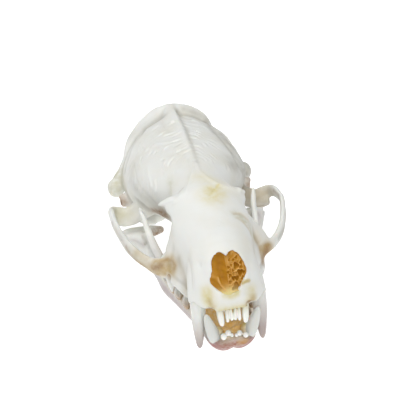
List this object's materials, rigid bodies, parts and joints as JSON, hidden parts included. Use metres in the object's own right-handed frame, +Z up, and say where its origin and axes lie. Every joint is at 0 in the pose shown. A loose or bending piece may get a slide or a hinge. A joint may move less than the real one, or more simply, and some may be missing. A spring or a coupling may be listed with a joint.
{
  "type": "mink skull",
  "caption": "Carnivore's skull with its lower jaw in place and a little open: crested braincase, cheek arches and long canine teeth.",
  "frame": {"origin": "middle of the underside, on the level that the skull stands on, halfway along its length", "axes": "+Y from the muzzle to the back of the head, +X to the animal's left, +Z up"},
  "size_m": [0.0376, 0.0688, 0.0248],
  "materials": {
    "bone": "matte, cleaned bone",
    "jaw_bone": "matte, stained bone",
    "scroll_bone": "matte, thin brown bone",
    "tooth": "glossy enamel"
  },
  "bodies": {
    "root": {"muzzle": "bone", "brow": "bone", "braincase": "bone", "occiput": "bone", "zygomatic_arch_left": "bone", "zygomatic_arch_right": "bone", "auditory_bulla_left": "bone", "auditory_bulla_right": "bone", "mandible_left": "jaw_bone", "mandible_right": "jaw_bone", "turbinates_left": "scroll_bone", "turbinates_right": "scroll_bone"}
  },
  "joints": []
}
